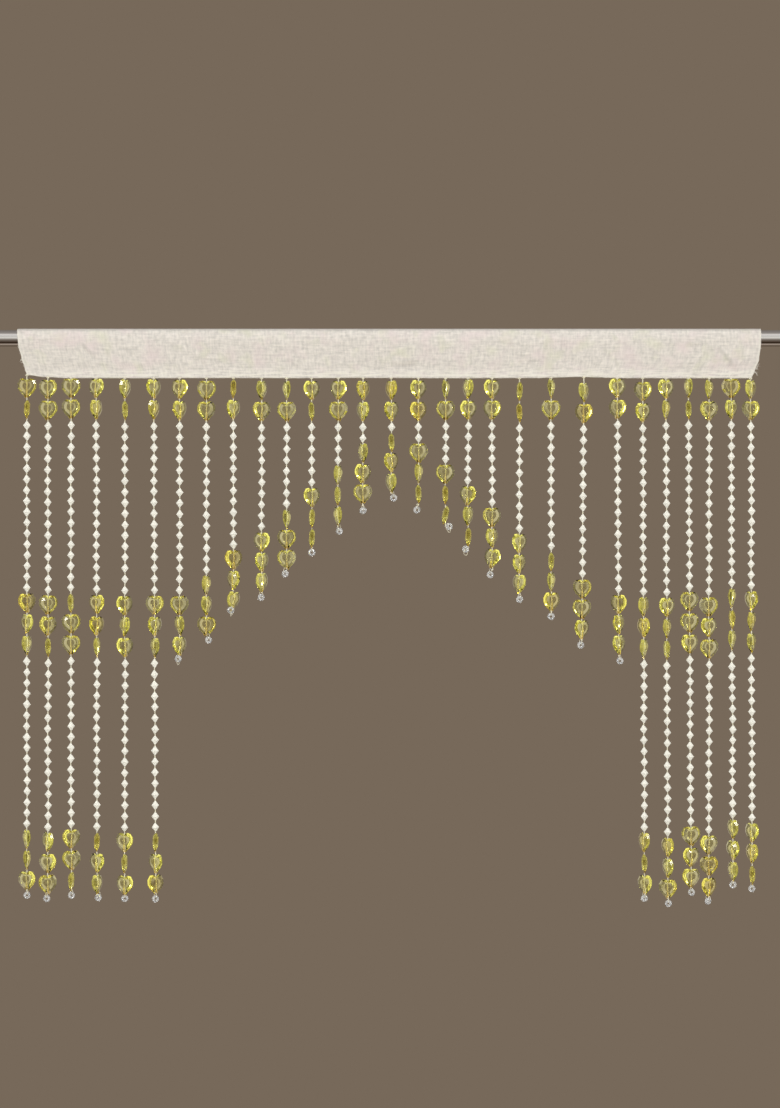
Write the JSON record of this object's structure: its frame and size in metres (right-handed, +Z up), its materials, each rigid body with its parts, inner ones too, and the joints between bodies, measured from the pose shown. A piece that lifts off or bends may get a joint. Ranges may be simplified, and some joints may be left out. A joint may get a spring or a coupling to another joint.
{
  "type": "bead string curtain on a rod",
  "caption": "Arched bead curtain: a cloth heading folded over a round metal rod, with strings of yellow hearts and ivory beads that hang from its hem.",
  "frame": {"origin": "on the rod's axis, midway between its ends", "axes": "+X along the rod to the right as seen from the room, +Y to the wall or doorway behind, +Z up"},
  "size_m": [0.96, 0.025, 0.6942],
  "materials": {
    "rod_metal": "polished bright metal tube",
    "heading_cloth": "cream plain weave with slubs, matt",
    "thread": "fine pale cord, twisted",
    "ivory_bead": "opaque ivory plastic, faceted and glossy",
    "yellow_heart": "clear yellow plastic, faceted and glossy",
    "clear_bead": "colourless clear plastic, faceted and glossy"
  },
  "bodies": {
    "root": {"rod": "rod_metal", "heading": "heading_cloth", "string_comb": "ivory_bead"}
  },
  "joints": []
}
